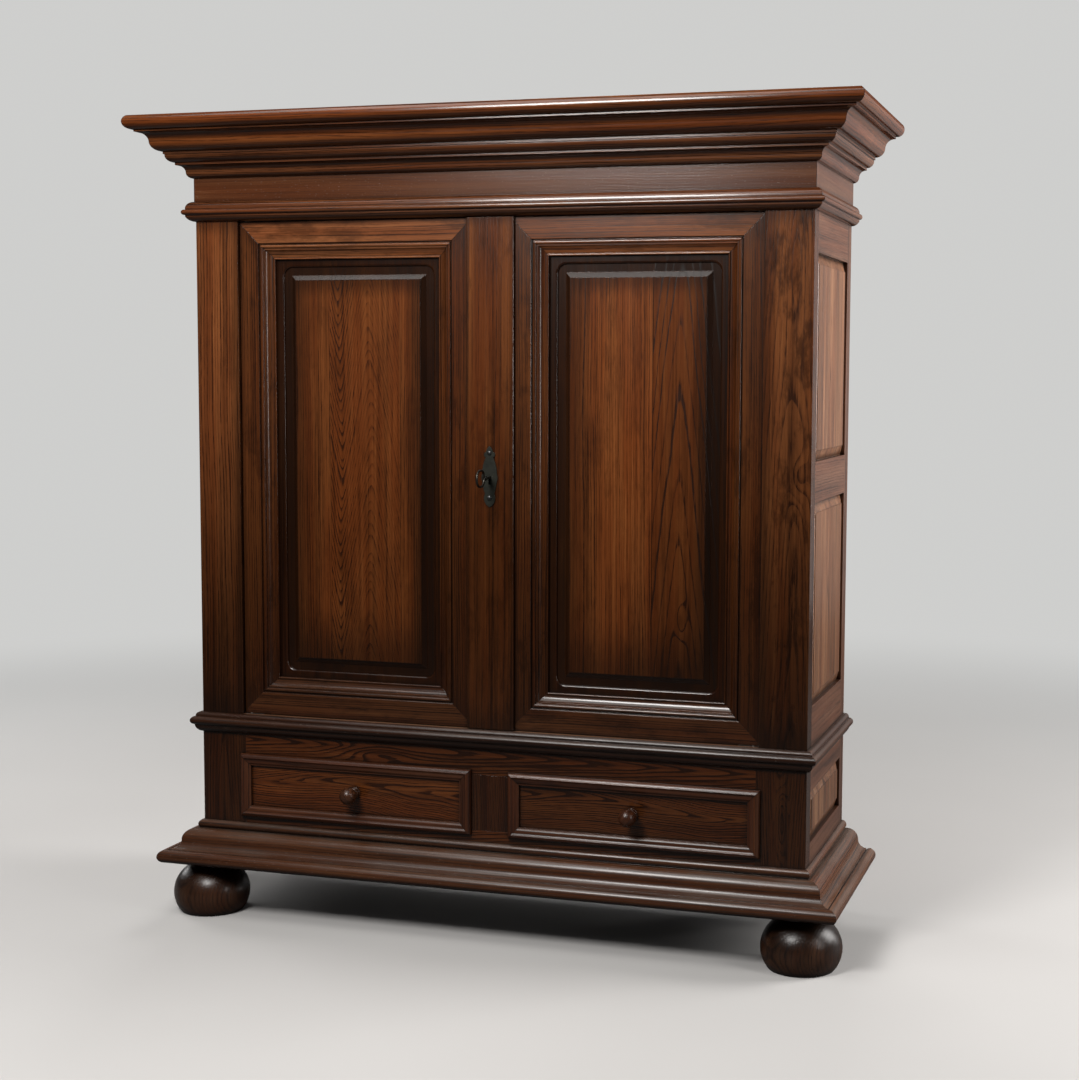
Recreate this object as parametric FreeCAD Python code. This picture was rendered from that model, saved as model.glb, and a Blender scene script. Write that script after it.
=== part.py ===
import FreeCAD, Part
import math
import os

# A kas: a free-standing oak cupboard with two fielded doors over two drawers, a boxed cornice and ball feet.
# Millimetres, +Z up, front towards -Y. The origin lies under the middle of the object, at floor level.
# Sections are drawn as (out, up): out from the face of the case, up from the floor.

V = FreeCAD.Vector

# ---- case ----
case_width = 1560.0
case_depth = 494.0
cupboard_height = 1234.0      # clear height of the door opening
floor_board = 24.0
ceiling_board = 24.0
drawer_sill = 98.0            # rail below the drawers, standing on the base boards
drawer_opening_height = 138.0
drawer_head = 88.0            # rail above the drawers
post_width = 114.0
post_depth = 50.0
lower_post_width = 120.0
rear_post = 50.0
rail_thickness = 26.0
centre_stile_width = 120.0
back_board_thickness = 15.0
back_board_count = 8
back_board_chamfer = 2.5
lower_back_thickness = 12.0

# ---- framed sides and their panels ----
side_thickness = 28.0
side_top_rail = 93.0
side_middle_rail = 95.0
side_bottom_rail = 95.0
side_upper_panel = 477.0      # clear height of the upper side opening
lower_side_top_rail = 82.0
lower_side_bottom_rail = 118.0
side_tongue = 10.0
side_tongue_behind = 7.0      # wood of the frame behind each tongue
side_groove = 9.0
side_panel_clearance = 1.0    # at the bottom of each groove
side_margin = 2.0             # flat of the tongue that shows
side_bevel = 23.0
side_bevel_rise = 8.5
side_shoulder = 1.2

# ---- base boards and base moulding ----
base_board = 32.0
base_board_out = 40.0
base_member = 165.0           # width of each base board
base_nose_under = 78.0        # the nose round the base boards: how far out at the bottom,
base_nose_reach = 89.0        # half way up,
base_nose_top = 68.5          # and at the top
base_quirk = 3.0              # depth of the quirk behind the nose
base_cove_start = 65.0
base_cove = 22.0
base_ovolo = 27.0
base_bead_foot = 9.0
base_bead_back = 6.0
base_bead_height = 20.0
base_bead_swell = 0.29

# ---- waist moulding ----
waist_ovolo_out = 16.0
waist_ovolo_rise = 20.0
waist_step = 1.0
waist_bead_height = 20.0
waist_bead_swell = 0.4
waist_fillet_back = 3.0
waist_fillet_rise = 2.0
waist_crown_back = 8.0
waist_crown_rise = 9.0

# ---- neck moulding and frieze ----
frieze_proud = 3.0
frieze_thickness = 22.0
frieze_show = 57.0            # height seen between the neck and the cornice
neck_ovolo_out = 19.5
neck_ovolo_rise = 12.0
neck_fillet_rise = 4.0
neck_step = 3.0
neck_bead_height = 13.0
neck_bead_swell = 0.35
neck_upper_fillet_rise = 3.0
neck_crown_back = 14.5
neck_crown_rise = 17.0

# ---- cornice: bed moulding, crown moulding, nosing boards and dust board ----
bed_ovolo = 14.0
bed_cove = 17.0
bed_fillet_out = 2.0
bed_fillet_rise = 6.0
bed_quirk = 3.0
bed_bead_out = 15.0
bed_bead_rise = 17.0
bed_shadow_rise = 2.0
bed_cap_out = 3.0
bed_cap_rise = 6.0
crown_step = 1.0
crown_ogee_out = 23.0         # each half of the ogee
crown_ogee_rise = 22.0
crown_fillet_out = 3.0
crown_fillet_rise = 5.0
nosing_thickness = 33.0
nosing_step = 6.0             # from the crown out to the nosing's lower edge
nosing_swell_out = 15.0
nosing_swell_height = 17.0
nosing_top_back = 9.0
nosing_inner = 60.0           # how far the nosing boards reach in over the case
dust_ledge = 14.0
dust_ledge_height = 10.0
dust_board = 9.0
dust_clearance = 0.5

# ---- feet ----
foot_height = 136.0
ball_radius = 96.0
ball_widest = 0.405           # level of the widest place, as a share of the ball's height
ball_seat_radius = 78.0
ball_neck_radius = 44.0
ball_neck = 5.0               # height of the plain neck under the collar
ball_collar_radius = 51.0
ball_collar = 10.0
ball_inset_side = 10.0        # axis of the ball, in from the case's side
ball_inset_front = 15.0       # axis of the ball, back from the case's front
foot_dowel_radius = 14.0
foot_dowel_length = 22.0
dowel_clearance = 0.3
rear_foot_width = 84.0
rear_foot_chamfer = 6.0
rear_foot_inset = 30.0        # in from the case's side

# ---- doors ----
door_recess = 10.0            # door faces behind the posts
door_gap = 2.0
meeting_gap = 3.0
frame_thickness = 24.0        # mitred front frame
backing_thickness = 16.0
hinge_stile = 49.0            # flat widths of the mitred frame
lock_stile = 55.0
top_rail = 53.0
bottom_rail = 55.0
arris = 1.0
quirk_width = 3.0
quirk_depth = 5.0
bead_width = 9.0
fillet_width = 4.0
hollow_width = 18.0
hollow_drop = 11.0
inner_bead_width = 5.0
inner_bead_swell = 0.45
backing_show = 19.0           # backing frame seen inside the mitred frame
backing_lip = 6.0             # its thickness over the panel's edge
backing_ovolo = 5.0
backing_corner_radius = 22.0
panel_cover = 7.0             # how far the lip covers the panel
panel_clearance = 1.0
panel_margin = 20.0           # flat ground seen round the raised field
panel_step = 1.0
panel_bevel = 12.0
panel_bevel_rise = 7.0
panel_shoulder = 2.0
centre_board_width = 120.0
meeting_stile_left = 46.0     # the meeting stile's edges, left and right of the middle
meeting_stile_right = 43.0
centre_board_arris = 1.5
overlap_clearance = 0.4       # centre board in front of the second door

# ---- door pivots ----
pivot_in = 14.0               # axis in from the door's edge
pivot_back = 6.0              # axis behind the door's face
pivot_radius = 4.0
pivot_clearance = 0.3
pivot_engagement = 9.0
pivot_plate = 3.0
pivot_plate_length = 50.0
pivot_plate_width = 16.0
pivot_plate_setback = 1.8
socket_plate_width = 18.0

# ---- door stops and shelves ----
stop_clearance = 0.3
stop_depth = 16.0
stop_height = 12.0
stop_from_post = 60.0
stop_from_middle = 110.0
shelf_count = 2
shelf_thickness = 22.0
shelf_setback = 82.0
shelf_clearance = 1.0
cleat_width = 24.0
cleat_height = 34.0

# ---- lock ----
keyhole_height = 614.0        # above the cupboard floor
lock_length = 90.0
lock_inset = 2.0              # end of the lock case in from the meeting stile's edge
lock_above = 58.0
lock_below = 44.0
lock_depth = 17.0
lock_wall = 1.5
bolt_height = 14.0
bolt_thickness = 6.0
bolt_above_key = 28.0
bolt_length = 74.0
bolt_clearance = 0.4
bolt_guide_from_end = 55.0
bolt_guide = 3.0
keeper_gap = 4.0              # keeper in from the second door's edge is this less the meeting gap
keeper_depth = 15.0
keeper_clearance = 2.5        # round the bolt
keeper_wall = 1.6
keeper_flange = 16.0
keyhole_slot = 5.0
keyhole_drop = 18.0

# ---- key and escutcheon ----
key_radius = 4.0
key_bore_clearance = 0.6
bow_height = 44.0
bow_length = 53.0
bow_wire = 5.5
bow_stand = 35.0              # back of the bow in front of the centre board
key_collar_radius = 6.5
key_collar = 5.0
key_end_clearance = 1.5
bit_reach = 16.5
bit_width = 7.0
bit_thickness = 3.6
escutcheon_thickness = 2.0
escutcheon_tip = 75.0
escutcheon_lobe_level = 61.0
escutcheon_lobe = 8.0
escutcheon_neck_level = 48.0
escutcheon_neck = 9.0
escutcheon_ear_level = 9.0    # the round ears reach this far above and below the keyhole
escutcheon_ear = 18.5
escutcheon_foot_level = 40.0
escutcheon_foot = 11.5
escutcheon_foot_tip = 71.0
escutcheon_foot_swell = 0.22
escutcheon_taper_swell = 0.02
escutcheon_ear_swell = 0.1
escutcheon_waist_swell = 0.06
escutcheon_lobe_swell = 0.4
escutcheon_tip_swell = 0.12

# ---- sliding bolts of the second door ----
rod_radius = 5.0
rod_length = 130.0
rod_setback = 4.0             # end of the rod short of the door's edge when drawn
rod_clearance = 0.4
rod_hole_depth = 18.0
rod_from_edge = 32.0          # axis in from the second door's free edge
rod_plate = 2.0
rod_plate_width = 30.0
rod_plate_length = 104.0
rod_plate_margin = 8.0
staple_height = 8.0
staple_wall = 3.5
staple_inset = 6.0
rod_knob_radius = 6.0
rod_knob_length = 13.0
rod_knob_place = 70.0         # along the rod
rod_knob_round = 1.5

# ---- drawers ----
drawer_gap = 1.5              # round the drawer front in its opening
drawer_front = 20.0
drawer_face_clearance = 0.3   # applied moulding in front of the case
drawer_lip = 12.0             # moulding over the case round the opening
drawer_moulding = 29.0
drawer_edge_rise = 4.0
drawer_ridge_in = 8.0
drawer_ridge_rise = 14.2
drawer_ridge = 3.0
drawer_ridge_swell = 0.25
drawer_slope = 7.0
drawer_slope_drop = 3.2
drawer_ovolo = 8.0
drawer_ovolo_drop = 4.0
drawer_back_room = 42.0       # between the drawer's box and the back of the case
drawer_side = 13.0
drawer_side_drop = 14.0       # top of the sides below the top of the opening
drawer_bottom = 8.0
drawer_bottom_up = 8.0
drawer_seat = 0.3
drawer_side_room = 12.0
groove_depth = 6.0
runner_width = 44.0
runner_height = 22.0
guide_height = 18.0
guide_clearance = 0.8

# ---- knobs ----
knob_ball = 21.0
knob_stand = 39.0             # centre of the ball in front of the drawer
knob_base_radius = 14.0
knob_base = 4.0
knob_base_swell = 0.35
knob_neck_radius = 8.0
knob_ring_radius = 12.5
knob_ring = 5.0
knob_ring_swell = 0.4
knob_ring_place = 9.0
knob_tenon_radius = 6.0

# ---- levels and planes worked out from the sizes above ----
half = case_width / 2
nosing_under = (frieze_proud + bed_ovolo + bed_cove + bed_fillet_out + bed_quirk + bed_bead_out + bed_cap_out
                + crown_step + 2 * crown_ogee_out + crown_fillet_out + nosing_step)
nosing_reach = nosing_under + nosing_swell_out
front = (nosing_reach - case_depth) / 2
back = front + case_depth
z_base = foot_height
z_plinth = z_base + base_board
z_drawer = z_plinth + drawer_sill
z_drawer_top = z_drawer + drawer_opening_height
z_carcass = z_drawer_top + drawer_head
z_floor = z_carcass + floor_board
z_ceiling = z_floor + cupboard_height
z_frieze = z_ceiling + ceiling_board
waist_height = waist_ovolo_rise + waist_bead_height + waist_fillet_rise + waist_crown_rise
neck_height = neck_ovolo_rise + neck_fillet_rise + neck_bead_height + neck_upper_fillet_rise + neck_crown_rise
z_bed = z_ceiling + neck_height + frieze_show
z_crown = z_bed + bed_ovolo + bed_cove + bed_fillet_rise + bed_bead_rise + bed_shadow_rise + bed_cap_rise
z_nosing = z_crown + 2 * crown_ogee_rise + crown_fillet_rise
z_top = z_nosing + nosing_thickness
rear_inner = half - rear_post
side_inner = half - side_thickness
door_bottom = z_floor + door_gap
door_top = z_ceiling - door_gap
door_outer = half - post_width - door_gap
second_door_edge = meeting_stile_right + meeting_gap
door_face = front + door_recess
backing_face = door_face + frame_thickness
door_back = backing_face + backing_thickness
frame_moulding = quirk_width + bead_width + fillet_width + hollow_width + inner_bead_width
pivot_x = door_outer - pivot_in
pivot_y = door_face + pivot_back
key_z = z_floor + keyhole_height
drawer_face = front - drawer_face_clearance
drawer_inner = centre_stile_width / 2
drawer_outer = half - lower_post_width

FAR = 400.0                   # further than any moulding reaches
SPARE = 1.0                   # how far a cutting piece runs past the wood
HAIR = 0.001                  # smaller than any step in the work
HALF_ROUND = 0.5              # swell of a half circle


# ---- helpers ----
def block(x0, x1, y0, y1, z0, z1):
    return Part.makeBox(x1 - x0, y1 - y0, z1 - z0, V(x0, y0, z0))


def prism(points, direction):
    """Straight prism over a closed polygon."""
    return Part.Face(Part.makePolygon(points + [points[0]])).extrude(direction)


def mirrored(shape):
    """Mirror image on the other side of the middle."""
    return shape.mirror(V(0, 0, 0), V(1, 0, 0))


def pair(*shapes):
    return [copy for shape in shapes for copy in (shape, mirrored(shape))]


def save(name, *shapes):
    solids = [solid for shape in shapes for solid in shape.Solids]
    shape = solids[0] if len(solids) == 1 else Part.makeCompound(solids)
    shape.exportStep("parts/" + name + ".step")


class Outline:
    """A section drawn with a pen that keeps the wood on its left."""

    def __init__(self, out, up):
        self.start = self.pen = (out, up)
        self.stretches = []

    def to(self, out, up):
        self.stretches.append((self.pen, None, (out, up)))
        self.pen = (out, up)
        return self

    def by(self, out, up):
        return self.to(self.pen[0] + out, self.pen[1] + up)

    def arc(self, middle, end):
        self.stretches.append((self.pen, middle, end))
        self.pen = end
        return self

    def swell(self, out, up, rise):
        """Arc by (out, up) that stands out of the wood by rise times its chord."""
        middle = (self.pen[0] + out / 2 + up * rise, self.pen[1] + up / 2 - out * rise)
        return self.arc(middle, (self.pen[0] + out, self.pen[1] + up))

    def bend(self, out, up, way):
        """Arc by (out, up), as full as it can be inside the rectangle between its ends."""
        slope = math.atan2(min(abs(out), abs(up)), max(abs(out), abs(up)))
        return self.swell(out, up, way * math.tan(slope / 2) / 2)

    def round(self, out, up):
        return self.bend(out, up, 1)

    def hollow(self, out, up):
        return self.bend(out, up, -1)

    def face(self, place):
        """The closed section, each of its points put in space by place(out, up)."""
        edges = []
        for begin, middle, end in self.stretches + [(self.pen, None, self.start)]:
            if middle is None:
                edges.append(Part.makeLine(place(*begin), place(*end)))
            else:
                edges.append(Part.Arc(place(*begin), place(*middle), place(*end)).toShape())
        return Part.Face(Part.Wire(edges))


def mitred_round_case(outline):
    """Front, right and left lengths of a moulding, mitred at the two front corners of the case."""
    near = front - FAR
    inside = front + FAR
    across = outline.face(lambda out, up: V(-half - FAR, front - out, up)).extrude(V(2 * (half + FAR), 0, 0))
    along = outline.face(lambda out, up: V(half + out, near, up)).extrude(V(0, back - near, 0))
    front_plan = [V(-half - FAR, near, 0), V(half + FAR, near, 0),
                  V(half - FAR, inside, 0), V(-half + FAR, inside, 0)]
    side_plan = [V(half + FAR, near, 0), V(half + FAR, back, 0),
                 V(half - FAR, back, 0), V(half - FAR, inside, 0)]
    rise = V(0, 0, z_top)
    return [across.common(prism(front_plan, rise))] + pair(along.common(prism(side_plan, rise)))


def mitred_frame(section, sight, flats, depth, face_y):
    """Bottom, top, left and right lengths of a mitred frame that faces the front.

    sight is (left, right, bottom, top) of the line that the section is drawn from. section(flat)
    is drawn as (in towards the opening, out of the face), with flats outside the line and depth inside it.
    """
    x0, x1, z0, z1 = sight
    left, right, bottom, top = flats
    length = V(x1 - x0 + left + right, 0, 0)
    height = V(0, 0, z1 - z0 + bottom + top)
    low = section(bottom).face(lambda into, out: V(x0 - left, face_y - out, z0 + into)).extrude(length)
    high = section(top).face(lambda into, out: V(x0 - left, face_y - out, z1 - into)).extrude(length)
    near = section(left).face(lambda into, out: V(x0 + into, face_y - out, z0 - bottom)).extrude(height)
    off = section(right).face(lambda into, out: V(x1 - into, face_y - out, z0 - bottom)).extrude(height)

    def between(length_piece, first, second):
        """Cut off along the diagonals through two corners, each (x, z, way in along x, way in along z)."""
        plan = []
        for (x, z, way_x, way_z), reach in ((first, -max(flats) - SPARE), (second, -max(flats) - SPARE),
                                            (second, depth + SPARE), (first, depth + SPARE)):
            plan.append(V(x + way_x * reach, face_y - FAR, z + way_z * reach))
        return length_piece.common(prism(plan, V(0, 2 * FAR, 0)))

    low_left, low_right = (x0, z0, 1, 1), (x1, z0, -1, 1)
    high_left, high_right = (x0, z1, 1, -1), (x1, z1, -1, -1)
    return [between(low, low_left, low_right), between(high, high_left, high_right),
            between(near, low_left, high_left), between(off, low_right, high_right)]


def fielded_panel(width, height, tongue, margin, step, bevel, rise, shoulder):
    """A raised panel facing the front: margin, step, bevel and shoulder. Its tongue's face is at y = 0."""
    def section(length):
        low, high = -step, -step - rise
        field = high - shoulder
        outer, inner = margin, margin + bevel
        points = [(0, tongue), (0, 0), (outer, 0), (outer, low), (inner, high), (inner, field)]
        points += [(length - inner, field), (length - inner, high), (length - outer, low)]
        points += [(length - outer, 0), (length, 0), (length, tongue)]
        return [point for point, after in zip(points, points[1:] + points[:1]) if point != after]

    upright = prism([V(x, y, 0) for x, y in section(width)], V(0, 0, height))
    level = prism([V(0, y, z) for z, y in section(height)], V(width, 0, 0))
    return upright.common(level)


def turned(outline):
    """Solid turned about the vertical from an outline of (radius, height)."""
    return outline.face(lambda radius, height: V(radius, 0, height)).revolve(V(0, 0, 0), V(0, 0, 1), 360)


# ---- feet ----
def ball_foot():
    """Turned ball with a flat seat, a necked collar and a dowel."""
    ball_top = foot_height - ball_collar - ball_neck
    outline = Outline(0, 0).to(ball_seat_radius, 0)
    outline.arc((ball_radius, ball_widest * ball_top), (ball_neck_radius, ball_top)).by(0, ball_neck)
    outline.round(ball_collar_radius - ball_neck_radius, ball_collar / 2).by(0, ball_collar / 2)
    outline.to(foot_dowel_radius, foot_height).by(0, foot_dowel_length).to(0, foot_height + foot_dowel_length)
    foot = turned(outline)
    foot.translate(V(half - ball_inset_side, front + ball_inset_front, 0))
    return foot


def rear_foot():
    """Plain block with its lower edges chamfered."""
    outer = half - rear_foot_inset
    foot = block(outer - rear_foot_width, outer, back - rear_foot_width, back, 0, foot_height)
    return foot.makeChamfer(rear_foot_chamfer, [edge for edge in foot.Edges if edge.BoundBox.ZMax < HAIR])


def make_feet():
    ball = ball_foot()
    save("right_front_foot", ball)
    save("left_front_foot", mirrored(ball))
    save("rear_feet", *pair(rear_foot()))


# ---- base ----
def make_base():
    outer = half + base_board_out
    near = front - base_board_out
    dowel_hole = Part.makeCylinder(foot_dowel_radius + dowel_clearance, foot_dowel_length + dowel_clearance,
                                   V(half - ball_inset_side, front + ball_inset_front, z_base))
    front_board = block(-outer, outer, near, near + base_member, z_base, z_plinth)
    front_board = front_board.cut(dowel_hole).cut(mirrored(dowel_hole))
    rear_board = block(-outer, outer, back - base_member, back, z_base, z_plinth)
    side_board = block(outer - base_member, outer, near + base_member, back - base_member, z_base, z_plinth)
    save("base_frame", front_board, rear_board, *pair(side_board))

    outline = Outline(base_board_out, z_base).to(base_nose_under, z_base)
    outline.arc((base_nose_reach, (z_base + z_plinth) / 2), (base_nose_top, z_plinth))
    outline.to(base_nose_top, z_plinth - base_quirk).to(base_cove_start, z_plinth - base_quirk)
    outline.to(base_cove_start, z_plinth).hollow(-base_cove, base_cove).round(-base_ovolo, base_ovolo)
    outline.to(base_bead_foot, outline.pen[1]).swell(-base_bead_back, base_bead_height, base_bead_swell)
    outline.to(0, outline.pen[1]).to(0, z_plinth).to(base_board_out, z_plinth)
    save("base_moulding", *mitred_round_case(outline))


# ---- framed sides ----
def side_panel(z0, z1):
    """Raised panel in the grooves of the right-hand side frame, for an opening from z0 to z1."""
    reach = side_groove - side_panel_clearance
    length = case_depth - post_depth - rear_post + 2 * reach
    panel = fielded_panel(length, z1 - z0 + 2 * reach, side_tongue, reach + side_margin,
                          0, side_bevel, side_bevel_rise, side_shoulder)
    panel.rotate(V(0, 0, 0), V(0, 0, 1), 90)
    panel.translate(V(side_inner + side_tongue_behind + side_tongue, front + post_depth - reach, z0 - reach))
    return panel


def side_groove_cut(z0, z1):
    """The groove all round an opening of the right-hand side frame."""
    x0 = side_inner + side_tongue_behind
    return block(x0, x0 + side_tongue, front + post_depth - side_groove, back - rear_post + side_groove,
                 z0 - side_groove, z1 + side_groove)


def side_rail(z0, z1):
    return block(side_inner, half, front + post_depth, back - rear_post, z0, z1)


lower_opening = (z_plinth + lower_side_bottom_rail, z_carcass - lower_side_top_rail)
upper_opening = (z_ceiling - side_top_rail - side_upper_panel, z_ceiling - side_top_rail)
middle_opening = (z_floor + side_bottom_rail, upper_opening[0] - side_middle_rail)


# ---- lower case ----
def make_lower_case():
    groove = side_groove_cut(*lower_opening)
    post = block(drawer_outer, half, front, front + post_depth, z_plinth, z_carcass).cut(groove)
    save("lower_posts", *pair(post))
    low_rail = side_rail(z_plinth, lower_opening[0]).cut(groove)
    high_rail = side_rail(lower_opening[1], z_carcass).cut(groove)
    save("lower_side_rails", *pair(low_rail, high_rail))
    save("lower_side_panels", *pair(side_panel(*lower_opening)))

    rail_back = front + rail_thickness
    sill = block(-drawer_outer, drawer_outer, front, rail_back, z_plinth, z_drawer)
    head = block(-drawer_outer, drawer_outer, front, rail_back, z_drawer_top, z_carcass)
    save("drawer_rails", sill, head)
    stile = block(-drawer_inner, drawer_inner, front, rail_back, z_drawer, z_drawer_top)
    save("drawer_centre_stile", stile)

    lower_back = back - lower_back_thickness
    save("lower_back_panel", block(-rear_inner, rear_inner, lower_back, back, z_plinth, z_carcass))
    guide = drawer_side_room - guide_clearance
    inner_runner = block(drawer_inner, drawer_inner + runner_width, rail_back, lower_back,
                         z_drawer - runner_height, z_drawer)
    inner_guide = block(drawer_inner, drawer_inner + guide, rail_back, lower_back,
                        z_drawer, z_drawer + guide_height)
    outer_runner = block(drawer_outer - runner_width, drawer_outer, rail_back, lower_back,
                         z_drawer - runner_height, z_drawer)
    outer_guide = block(drawer_outer - guide, drawer_outer, rail_back, lower_back,
                        z_drawer, z_drawer + guide_height)
    save("drawer_runners", *pair(inner_runner.fuse(inner_guide).removeSplitter(),
                                 outer_runner.fuse(outer_guide).removeSplitter()))


def make_waist():
    outline = Outline(0, z_floor - waist_height).round(waist_ovolo_out, waist_ovolo_rise).by(waist_step, 0)
    outline.swell(0, waist_bead_height, waist_bead_swell).by(-waist_fillet_back, 0).by(0, waist_fillet_rise)
    outline.round(-waist_crown_back, waist_crown_rise).to(0, z_floor)
    save("waist_moulding", *mitred_round_case(outline))


# ---- cupboard ----
def pivot_socket(z, up):
    """Plate let into the board at height z, and the hole through it; up is 1 in the ceiling, -1 below."""
    x1 = pivot_x + pivot_in
    y0 = pivot_y - socket_plate_width / 2
    low, high = sorted((z, z + up * pivot_plate))
    plate = block(x1 - pivot_plate_length, x1, y0, y0 + socket_plate_width, low, high)
    radius = pivot_radius + pivot_clearance
    depth = pivot_engagement + pivot_clearance
    return plate, Part.makeCylinder(radius, depth, V(pivot_x, pivot_y, z), V(0, 0, up))


rod_x = second_door_edge + rod_from_edge
rod_y = door_back + rod_plate + rod_radius + rod_clearance


def rod_hole(z, up):
    radius = rod_radius + rod_clearance
    return Part.makeCylinder(radius, rod_hole_depth, V(rod_x, rod_y, z), V(0, 0, up))


def make_cupboard():
    plates = []
    for name, z0, z1, z_inside, up in (("cupboard_floor", z_carcass, z_floor, z_floor, -1),
                                       ("cupboard_ceiling", z_ceiling, z_frieze, z_ceiling, 1)):
        plate, hole = pivot_socket(z_inside, up)
        board = block(-half, half, front, back, z0, z1)
        for cut in pair(plate, hole) + [rod_hole(z_inside, up)]:
            board = board.cut(cut)
        save(name, board)
        plates += pair(plate.cut(hole))
    save("door_pivot_sockets", *plates)

    grooves = [side_groove_cut(*middle_opening), side_groove_cut(*upper_opening)]
    post = block(half - post_width, half, front, front + post_depth, z_floor, z_ceiling)
    upper_rear = block(rear_inner, half, back - rear_post, back, z_floor, z_ceiling)
    lower_rear = block(rear_inner, half, back - rear_post, back, z_plinth, z_carcass)
    rails = [side_rail(z_floor, middle_opening[0]), side_rail(middle_opening[1], upper_opening[0]),
             side_rail(upper_opening[1], z_ceiling)]
    for groove in grooves:
        post = post.cut(groove)
        upper_rear = upper_rear.cut(groove)
        rails = [rail.cut(groove) for rail in rails]
    save("upper_front_posts", *pair(post))
    save("rear_posts", *pair(upper_rear, lower_rear.cut(side_groove_cut(*lower_opening))))
    save("upper_side_rails", *pair(*rails))
    save("upper_side_panels", *pair(side_panel(*middle_opening), side_panel(*upper_opening)))


def make_back_boards():
    width = 2 * rear_inner / back_board_count
    near = back - back_board_thickness
    boards = []
    for index in range(back_board_count):
        x0 = -rear_inner + index * width
        x1 = x0 + width
        plan = [V(x0, near, z_floor), V(x1, near, z_floor), V(x1, back - back_board_chamfer, z_floor),
                V(x1 - back_board_chamfer, back, z_floor), V(x0 + back_board_chamfer, back, z_floor),
                V(x0, back - back_board_chamfer, z_floor)]
        boards.append(prism(plan, V(0, 0, cupboard_height)))
    save("back_boards", *boards)


def make_shelves():
    pitch = (cupboard_height + shelf_thickness) / (shelf_count + 1)
    shelf_end = side_inner - shelf_clearance
    shelf_back = back - back_board_thickness - shelf_clearance
    notch_x = rear_inner - shelf_clearance
    notch_y = back - rear_post - shelf_clearance
    shelves = []
    cleats = []
    for index in range(shelf_count):
        top = z_floor + (index + 1) * pitch
        under = top - shelf_thickness
        shelf = block(-shelf_end, shelf_end, front + shelf_setback, shelf_back, under, top)
        for notch in pair(block(notch_x, half, notch_y, back, under, top)):
            shelf = shelf.cut(notch)
        shelves.append(shelf)
        cleats += pair(block(side_inner - cleat_width, side_inner, front + post_depth, back - rear_post,
                             under - cleat_height, under))
    save("shelves", *shelves)
    save("shelf_cleats", *cleats)

    near = door_back + stop_clearance
    far = near + stop_depth
    outer = half - post_width - stop_from_post
    low = block(stop_from_middle, outer, near, far, z_floor, z_floor + stop_height)
    high = block(stop_from_middle, outer, near, far, z_ceiling - stop_height, z_ceiling)
    save("door_stops", *pair(low, high))


# ---- neck, frieze and cornice ----
def make_neck_and_frieze():
    outline = Outline(0, z_ceiling).round(neck_ovolo_out, neck_ovolo_rise).by(0, neck_fillet_rise)
    outline.by(neck_step, 0).swell(0, neck_bead_height, neck_bead_swell).by(-neck_step, 0)
    outline.by(0, neck_upper_fillet_rise).round(-neck_crown_back, neck_crown_rise)
    outline.to(frieze_proud, outline.pen[1]).to(frieze_proud, z_frieze).to(0, z_frieze)
    save("neck_moulding", *mitred_round_case(outline))

    outer = half + frieze_proud
    inner = outer - frieze_thickness
    near = front - frieze_proud
    front_board = block(-outer, outer, near, near + frieze_thickness, z_frieze, z_nosing)
    side_board = block(inner, outer, near + frieze_thickness, back, z_frieze, z_nosing)
    back_board = block(-inner, inner, back - frieze_thickness, back, z_frieze, z_nosing)
    save("frieze", front_board, back_board, *pair(side_board))


def make_cornice():
    bed = Outline(frieze_proud, z_bed).round(bed_ovolo, bed_ovolo).hollow(bed_cove, bed_cove)
    bed.by(bed_fillet_out, 0).by(0, bed_fillet_rise).by(bed_quirk, 0).round(bed_bead_out, bed_bead_rise)
    bed.by(0, bed_shadow_rise).by(bed_cap_out, 0).by(0, bed_cap_rise).to(frieze_proud, z_crown)
    save("cornice_bed_moulding", *mitred_round_case(bed))

    crown_start = (nosing_under - nosing_step - crown_fillet_out - 2 * crown_ogee_out)
    crown = Outline(frieze_proud, z_crown).to(crown_start, z_crown)
    crown.round(crown_ogee_out, crown_ogee_rise).hollow(crown_ogee_out, crown_ogee_rise)
    crown.by(crown_fillet_out, 0).by(0, crown_fillet_rise).to(frieze_proud, z_nosing)
    save("cornice_crown_moulding", *mitred_round_case(crown))

    ledge = z_nosing + dust_ledge_height
    ledge_in = nosing_inner - dust_ledge
    nosing = Outline(-nosing_inner, z_nosing).to(nosing_under, z_nosing)
    nosing.arc((nosing_reach, z_nosing + nosing_swell_height), (nosing_reach - nosing_top_back, z_top))
    nosing.to(-ledge_in, z_top).to(-ledge_in, ledge).to(-nosing_inner, ledge)
    inner = half - nosing_inner
    lower = block(-inner, inner, back - nosing_inner, back, z_nosing, ledge)
    upper = block(-half + ledge_in, half - ledge_in, back - ledge_in, back, ledge, z_top)
    save("cornice_nosing", lower.fuse(upper).removeSplitter(), *mitred_round_case(nosing))

    dust_x = half - ledge_in - dust_clearance
    save("cornice_top", block(-dust_x, dust_x, front + ledge_in + dust_clearance,
                              back - ledge_in - dust_clearance, ledge, ledge + dust_board))


# ---- doors ----
def door_frame_section(flat):
    """Flat, quirk, bead, fillet, hollow and small inner bead of the mitred front frame."""
    bead_top = -hollow_drop - quirk_depth
    outline = Outline(-flat, -frame_thickness).to(frame_moulding, -frame_thickness)
    outline.to(frame_moulding, bead_top)
    outline.swell(-inner_bead_width, 0, inner_bead_swell).hollow(-hollow_width, hollow_drop)
    outline.by(-fillet_width, 0).swell(-bead_width, 0, HALF_ROUND).by(-quirk_width, 0)
    return outline.to(0, -arris).to(-arris, 0).to(-flat, 0)


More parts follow.
